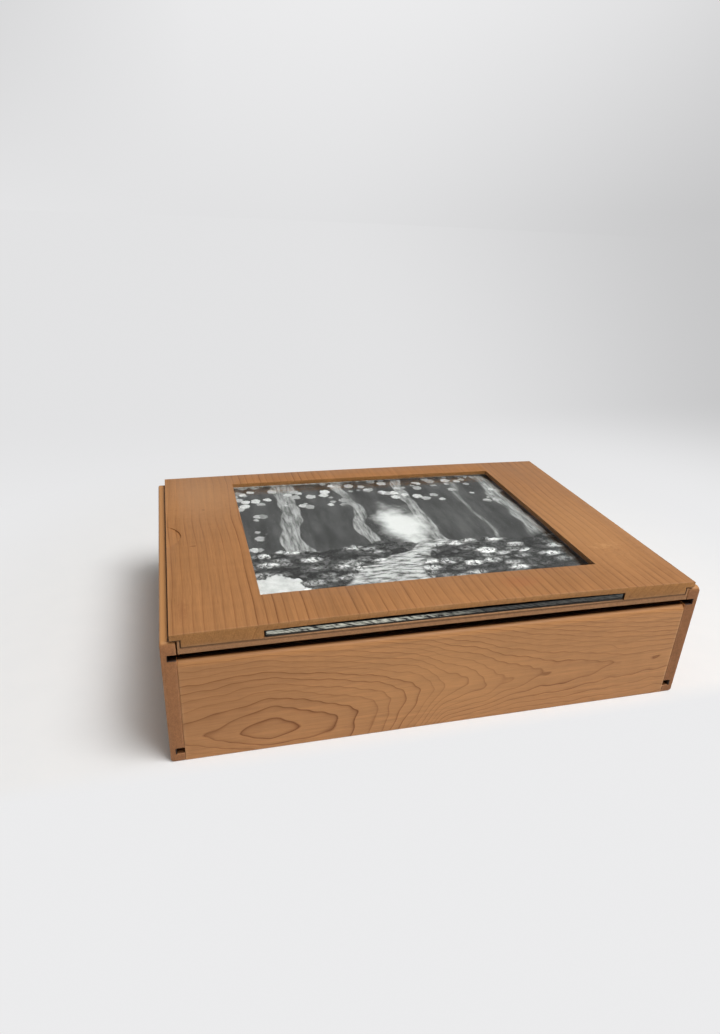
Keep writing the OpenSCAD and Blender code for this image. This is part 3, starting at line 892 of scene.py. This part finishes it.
def build_lid():
    upper = eased_copy("lid_top_board", "lid_frame", 0.0006, strips=32)
    cupped(upper, "upper")
    # Painted shade: near-black in the slot under the front rail and under the lid's lip where it lies over
    # the walls
    slot_x = WINDOW[1] + 0.004
    slot = ((-slot_x, FRONT_Y + 0.0005, FRAME_Z + 0.0001), (slot_x, WINDOW[2] - 0.0005, SIDE_TOP + 0.0003),
            SHADE, 1.0, 0.0003)
    lip_x = (JOINT_X - 0.0003, HALF_LID + 0.0005)
    painted_shade_under_lip = both_sides(*lip_x, WALL_TOP, LIP_Z + 0.0001, 0.9, 0.0003, LIP_END)
    wood = cherry("cherry lid", "y", srgb(171, 119, 73), srgb(114, 64, 28), pith=(0.5, -0.15), spacing=0.0058,
                  wander=0.28, lines=0.80, seed=2.0, cloud=0.2, end_tint=srgb(255, 255, 235),
                  curl=((0.154, -0.073, 0.099), (0.016, 0.012, 0.02), 4.0), marks=lid_marks(),
                  painted_light_and_joints=[*lid_joint(), *painted_shade_under_lip, slot],
                  box=((-HALF_LID, FRONT_Y, FRAME_Z), (HALF_LID, BACK_Y, SIDE_TOP + 0.0012)))
    place(upper, wood, "lid", "lid_frame")
    under = eased_copy("lid_under_board", "lid_base", 0.0005, strips=32)
    cupped(under, "under")
    wood = cherry("cherry under board", "y", srgb(176, 132, 94), srgb(136, 92, 60), pith=(-0.4, -0.2),
                  spacing=0.0045, seed=21.0, lines=0.5, end_tint=srgb(245, 238, 228), painted_light_and_joints=lid_joint())
    place(under, wood, "lid", "lid_base")
    for label in ("left", "right"):
        runner = eased_copy("runner_strip_" + label, "runner_" + label, 0.0004, 2)
        wood = cherry("maple runner " + label, "y", srgb(214, 182, 140), srgb(176, 138, 98), pith=(0.1, 0.0),
                      spacing=0.0025, lines=0.3, seed=31.0)
        place(runner, wood, "lid", "runner_" + label)


def build_sheets():
    pane = eased_copy("clear_pane", "glazing_sheet", 0.0002, 2, smooth=False)
    place(pane, clear_material(), "glazing", "glazing_sheet")
    sheet = eased_copy("print_sheet", "display_print", 0.00004, 1, smooth=False)
    place(sheet, print_material(), "print", "display_print")
    card = eased_copy("back_card", "backing_card", 0.0002, 1, strips=32)
    bent_card(card)
    board = plain_detail("grey card", srgb(70, 66, 60), srgb(52, 48, 44), 0.75, scale=500.0)
    place(card, board, "backing", "backing_card")


def build_box():
    for make_group in (edge_group, ring_group, spot_group, block_group, backdrop_group, grain_group):
        make_group()
    light, dark = srgb(187, 133, 83), srgb(120, 66, 26)
    build_walls()
    build_front_panel(light, dark)
    build_back_and_bottom(light, dark)
    build_lid()
    build_sheets()
    beech = plain_detail("beech dowel", srgb(214, 184, 142), srgb(182, 146, 104), 0.6, scale=400.0,
                         stretch=(0.1, 1, 1))
    dress("corner_dowels", beech)
    brass = plain_detail("brass screw", srgb(205, 170, 98), srgb(168, 132, 70), 0.22, metallic=1.0,
                         scale=900.0)
    dress("runner_screws", brass)


# Floor, light and camera

def seen_directly(t):
    """1 where the camera, a reflection or clear material looks at the surface, 0 for light on its way."""
    path = add(t, "ShaderNodeLightPath").outputs
    mirrored = calc(t, "MAXIMUM", path["Is Glossy Ray"], path["Is Transmission Ray"])
    return calc(t, "MAXIMUM", path["Is Camera Ray"], mirrored)


def floor_material():
    """Pale floor that takes the box's shadow, and turns into the backdrop's own tone further away."""
    m, t, shader, out, pos = new_material("pale floor")
    speck = ramp(t, noise(t, pos, 40.0, 3.0), 0.3, 0.7)
    colour = mix(t, speck, (0.846, 0.846, 0.846, 1), (0.856, 0.855, 0.853, 1))
    t.links.new(colour, shader.inputs["Base Color"])
    shader.inputs["Roughness"].default_value = 0.9
    shader.inputs["Specular IOR Level"].default_value = 0.05
    x, y, _ = parts(t, pos)
    in_front = ramp(t, times(t, y, -1.0), 0.125, 0.150)
    away = calc(t, "MAXIMUM", ramp(t, vec(t, "LENGTH", pos), 0.27, 0.50), in_front)
    sideways = calc(t, "DIVIDE", x, plus(t, calc(t, "ABSOLUTE", y), 0.5))
    near = minus(t, 1.0, ramp(t, y, 0.05, 0.7))
    shown = call(t, "Backdrop", {"Sideways": minus(t, sideways, times(t, near, 0.6)), "Near": near})["Color"]
    glow = add(t, "ShaderNodeEmission", {0: shown, 1: 1.0})
    mixed = add(t, "ShaderNodeMixShader", {0: times(t, away, seen_directly(t)), 1: shader.outputs[0],
                                           2: glow.outputs[0]})
    t.links.new(mixed.outputs[0], out.inputs[0])
    return m


def studio_floor():
    """A flat round floor: rings whose radius grows from 5 cm to 12 m by the same factor each time."""
    count, radii = 96, np.geomspace(0.05, 12.0, 24)[:, None]
    angle = np.linspace(0, 2 * np.pi, count, endpoint=False)
    level = np.zeros((len(radii), count))
    verts = np.stack([radii * np.cos(angle), radii * np.sin(angle), level], -1).reshape(-1, 3)
    floor = mesh_object("floor", verts, ring_faces(len(radii), count)[:, ::-1], [np.arange(count)])
    floor.data.materials.append(floor_material())


def studio_room():
    """A soft warm room: its light is strength (0.52 z^2 + 0.03), more from the front than from behind.
    The camera sees the backdrop in its place, which turns darker grey high up."""
    world = bpy.data.worlds.new("studio")
    bpy.context.scene.world = world
    world.use_nodes = True
    t = world.node_tree
    t.nodes.clear()
    x, y, z = parts(t, t.nodes.new("ShaderNodeTexCoord").outputs["Generated"])
    sideways = calc(t, "DIVIDE", x, calc(t, "MAXIMUM", calc(t, "ABSOLUTE", y), 0.3))
    shown = call(t, "Backdrop", {"Sideways": sideways, "Up": z})["Color"]
    shown = mix(t, ramp(t, z, 0.215, 0.30), shown, (0.17, 0.17, 0.17, 1))
    strength = calc(t, "MULTIPLY_ADD", times(t, z, z), 0.52, 0.03)
    strength = times(t, strength, ramp(t, y, -1.0, 1.0, 1.5, 0.5, smooth=False))
    lit = add(t, "ShaderNodeBackground", {0: (1.0, 0.965, 0.915, 1), 1: strength})
    back = add(t, "ShaderNodeBackground", {0: shown, 1: 1.0})
    mixed = add(t, "ShaderNodeMixShader", {0: seen_directly(t), 1: lit.outputs[0], 2: back.outputs[0]})
    t.links.new(mixed.outputs[0], t.nodes.new("ShaderNodeOutputWorld").inputs[0])


def studio_lamp():
    """One large square lamp, high at the front right."""
    data = bpy.data.lights.new("large lamp", "AREA")
    data.shape = "SQUARE"
    data.size = 2.0
    data.energy = 127
    data.color = (0.985, 0.993, 1.0)
    lamp = bpy.data.objects.new("large lamp", data)
    at, aim = Vector((1.25, -1.15, 3.4)), Vector((0, 0, 0.03))
    lamp.matrix_world = Matrix.Translation(at) @ (aim - at).to_track_quat("-Z", "Y").to_matrix().to_4x4()
    bpy.context.scene.collection.objects.link(lamp)


def camera():
    """The photograph's pinhole camera: heading to the right of the back, tilt down and roll in
    degrees, place in metres, focal length and the place of its axis in pixels of the photograph."""
    photo_width, photo_height, focal = 720, 1034, 699.78
    axis_x, axis_y = 359.20, 549.53
    heading, tilt, roll = np.radians((15.5315, 26.5270, 2.5824))
    data = bpy.data.cameras.new("camera")
    data.sensor_width = 36.0
    data.lens = focal / photo_height * data.sensor_width
    data.shift_x = (photo_width / 2 - axis_x) / photo_height
    data.shift_y = (axis_y - photo_height / 2) / photo_height
    data.clip_start = 0.01
    cam = bpy.data.objects.new("camera", data)
    turned = (Matrix.Rotation(-heading, 4, "Z") @ Matrix.Rotation(np.pi / 2 - tilt, 4, "X")
              @ Matrix.Rotation(roll, 4, "Z"))
    cam.matrix_world = Matrix.Translation((-0.170393, -0.496729, 0.335290)) @ turned
    bpy.context.scene.collection.objects.link(cam)
    bpy.context.scene.camera = cam


bpy.context.scene.view_settings.view_transform = "Standard"
build_box()
studio_floor()
studio_room()
studio_lamp()
camera()
